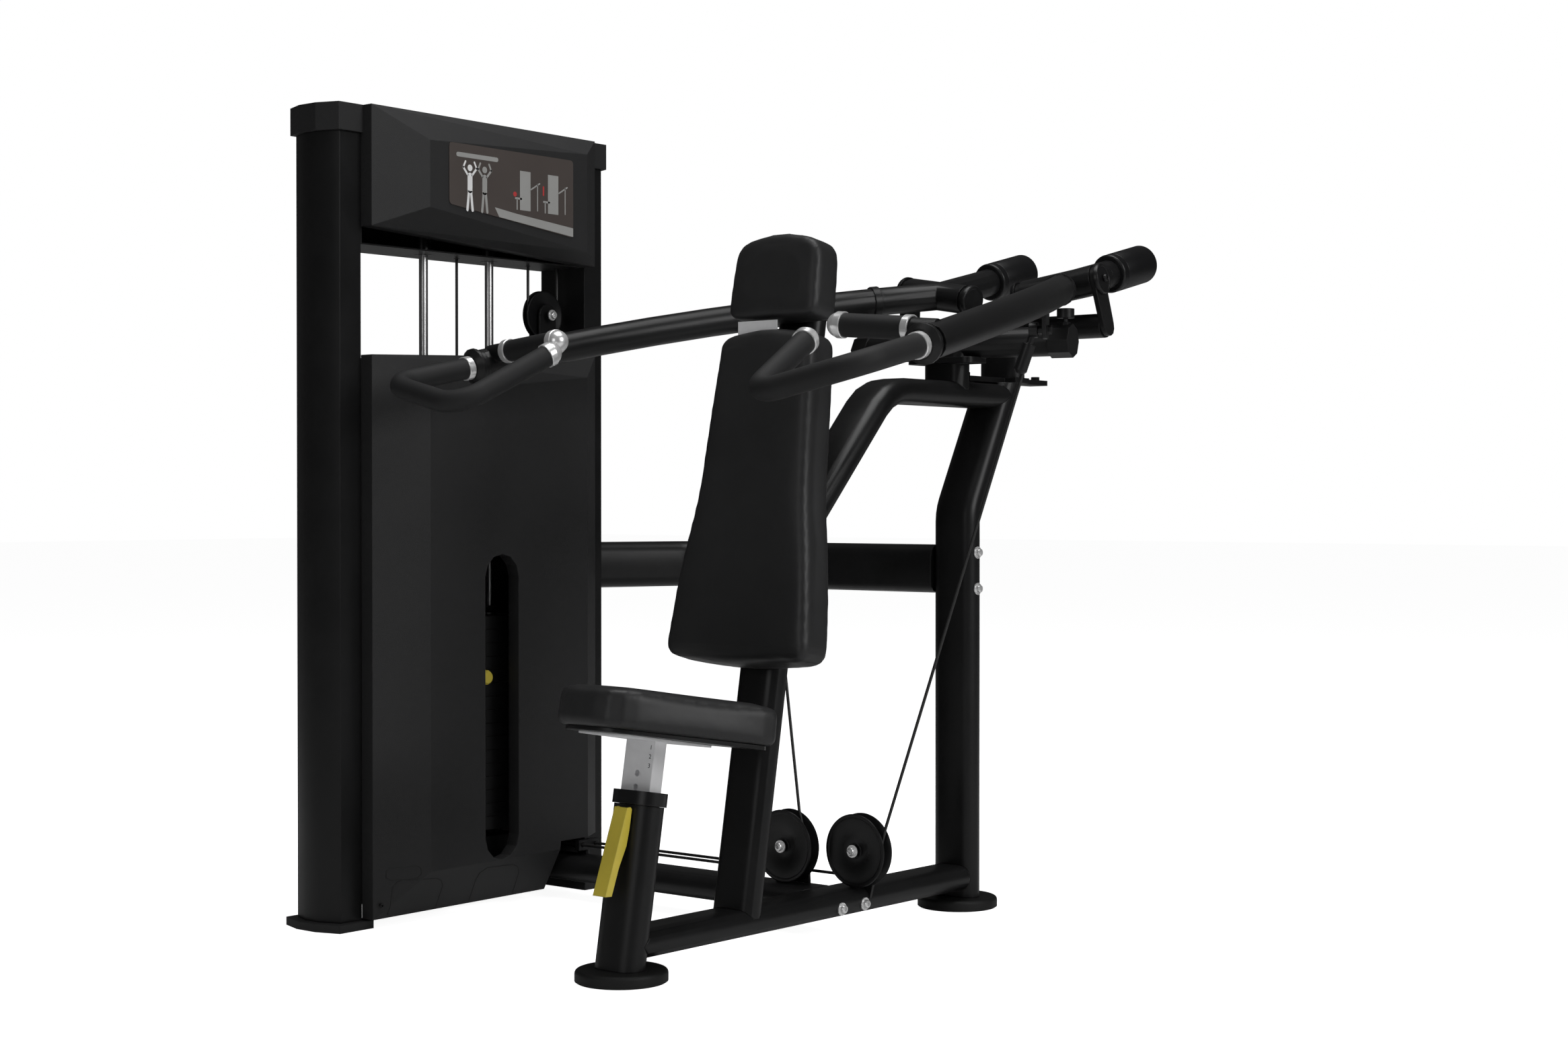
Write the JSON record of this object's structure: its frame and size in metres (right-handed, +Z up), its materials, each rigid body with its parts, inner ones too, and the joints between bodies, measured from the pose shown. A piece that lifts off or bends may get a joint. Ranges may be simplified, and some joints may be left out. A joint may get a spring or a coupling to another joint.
{
  "type": "shoulder press machine",
  "caption": "Seated shoulder press: a weight-stack tower beside a seat frame with independent converging press arms, an adjustable seat, and back and head pads",
  "frame": {"origin": "Centre of the underside of the front foot disc, on the floor", "axes": "+Z up, +Y towards the back of the machine, +X away from the weight tower, so the tower stands on the -X side and the seated user faces -Y"},
  "size_m": [1.4586, 1.5783, 1.6],
  "materials": {
    "black_frame": "powder-coated black, slight sheen",
    "moulded_cover": "finely grained moulded black plastic",
    "black_plastic": "smooth black plastic",
    "foot_rubber": "matte black rubber",
    "grip_rubber": "matte black rubber grip",
    "upholstery": "smooth black artificial leather",
    "cable_jacket": "black coated steel cable",
    "polished_steel": "polished round steel",
    "stack_plates": "black coated weight plates",
    "yellow_adjuster": "yellow adjustment point",
    "stem_silver": "silver-grey coating",
    "placard": "printed brown-grey panel"
  },
  "bodies": {
    "root": {"back_column": "black_frame", "back_pad": "upholstery", "base_rail": "black_frame", "cable_guide": "black_plastic", "front_foot": "foot_rubber", "guide_rod_front": "polished_steel", "guide_rod_rear": "polished_steel", "head_pad": "upholstery", "header_box": "black_frame", "header_cover": "moulded_cover", "instruction_placard": "placard", "left_arm_cable": "cable_jacket", "left_pivot_axle": "black_plastic", "lower_back_panel": "moulded_cover", "lower_cover": "moulded_cover", "lower_crossbeam": "black_frame", "pivot_crossbar": "black_frame", "pulley_bracket_a": "black_frame", "pulley_bracket_b": "black_frame", "rear_foot": "foot_rubber", "rear_upright": "black_frame", "right_arm_cable": "cable_jacket", "right_pivot_axle": "black_plastic", "seat_post": "black_frame", "seat_post_collar": "black_plastic", "stop_crossbar": "black_frame", "top_tube": "black_frame", "tower_base_beam": "black_frame", "tower_front_cap": "moulded_cover", "tower_front_foot": "moulded_cover", "tower_front_upright": "black_frame", "tower_rear_cap": "moulded_cover", "tower_rear_foot": "moulded_cover", "tower_rear_upright": "black_frame", "upper_crossbeam": "black_frame", "weight_stack_rest": "stack_plates"},
    "left_arm": {"left_arm": "black_frame", "left_counterweight": "black_plastic", "left_main_grip": "grip_rubber", "left_short_grip": "grip_rubber", "left_rod_end": "black_frame"},
    "right_arm": {"right_arm": "black_frame", "right_counterweight": "black_plastic", "right_main_grip": "grip_rubber", "right_short_grip": "grip_rubber", "right_rod_end": "black_frame"},
    "lifted_stack": {"weight_stack_lifted": "stack_plates", "selector_rod": "polished_steel", "stack_cable": "cable_jacket"},
    "stack_pin": {"selector_pin": "yellow_adjuster"},
    "pulley_block": {"floating_pulley_bracket": "black_frame", "sling_cable": "cable_jacket"},
    "block_wheel": {"floating_pulley": "black_plastic"},
    "floor_wheel_a": {"floor_pulley_a": "black_plastic"},
    "floor_wheel_b": {"floor_pulley_b": "black_plastic"},
    "seat": {"seat_stem": "stem_silver", "seat_board": "black_frame", "seat_pad": "upholstery"},
    "lever": {"seat_lever": "yellow_adjuster"},
    "release_pin": {"pop_pin": "polished_steel"}
  },
  "joints": [
    {"name": "left_arm_press", "type": "hinge", "parent": "root", "child": "left_arm", "pos_m": [0.153, 1.1485, 1.27], "axis": [-0.9796, -0.1237, -0.1583], "range_deg": [0, 45]},
    {"name": "right_arm_press", "type": "hinge", "parent": "root", "child": "right_arm", "pos_m": [-0.153, 1.1485, 1.27], "axis": [-0.9796, 0.1237, 0.1583], "range_deg": [0, 45]},
    {"name": "stack_lift", "type": "slide", "parent": "root", "child": "lifted_stack", "axis": [0, 0, 1], "range_m": [0, 0.23]},
    {"name": "stack_pin_pull", "type": "slide", "parent": "lifted_stack", "child": "stack_pin", "axis": [1, 0, 0], "range_m": [0, 0.09]},
    {"name": "block_travel", "type": "slide", "parent": "root", "child": "pulley_block", "axis": [0, 0, -1], "range_m": [0, 0.115]},
    {"name": "block_wheel_spin", "type": "hinge", "parent": "pulley_block", "child": "block_wheel", "pos_m": [-0.807, 0.608, 1.228], "axis": [1, 0, 0], "continuous": true},
    {"name": "floor_wheel_a_spin", "type": "hinge", "parent": "root", "child": "floor_wheel_a", "pos_m": [-0.112, 0.587, 0.16], "axis": [0, 1, 0], "continuous": true},
    {"name": "floor_wheel_b_spin", "type": "hinge", "parent": "root", "child": "floor_wheel_b", "pos_m": [0.036, 0.625, 0.16], "axis": [0, 1, 0], "continuous": true},
    {"name": "seat_height", "type": "slide", "parent": "root", "child": "seat", "axis": [0, 0.1736, 0.9848], "range_m": [-0.075, 0.1]},
    {"name": "lever_squeeze", "type": "hinge", "parent": "root", "child": "lever", "pos_m": [0, -0.0037, 0.2491], "axis": [1, 0, 0], "range_deg": [0, 10]},
    {"name": "pin_release", "type": "slide", "parent": "root", "child": "release_pin", "axis": [0, -0.9848, 0.1736], "range_m": [0, 0.007]}
  ],
  "couplings": [
    {"joint": "stack_lift", "follows": "right_arm_press", "m_per_rad": 0.29},
    {"joint": "block_travel", "follows": "right_arm_press", "m_per_rad": 0.145},
    {"joint": "pin_release", "follows": "lever_squeeze", "m_per_rad": 0.036},
    {"joint": "block_wheel_spin", "follows": "right_arm_press", "ratio": 3.6},
    {"joint": "floor_wheel_a_spin", "follows": "right_arm_press", "ratio": -6},
    {"joint": "floor_wheel_b_spin", "follows": "left_arm_press", "ratio": -6}
  ]
}
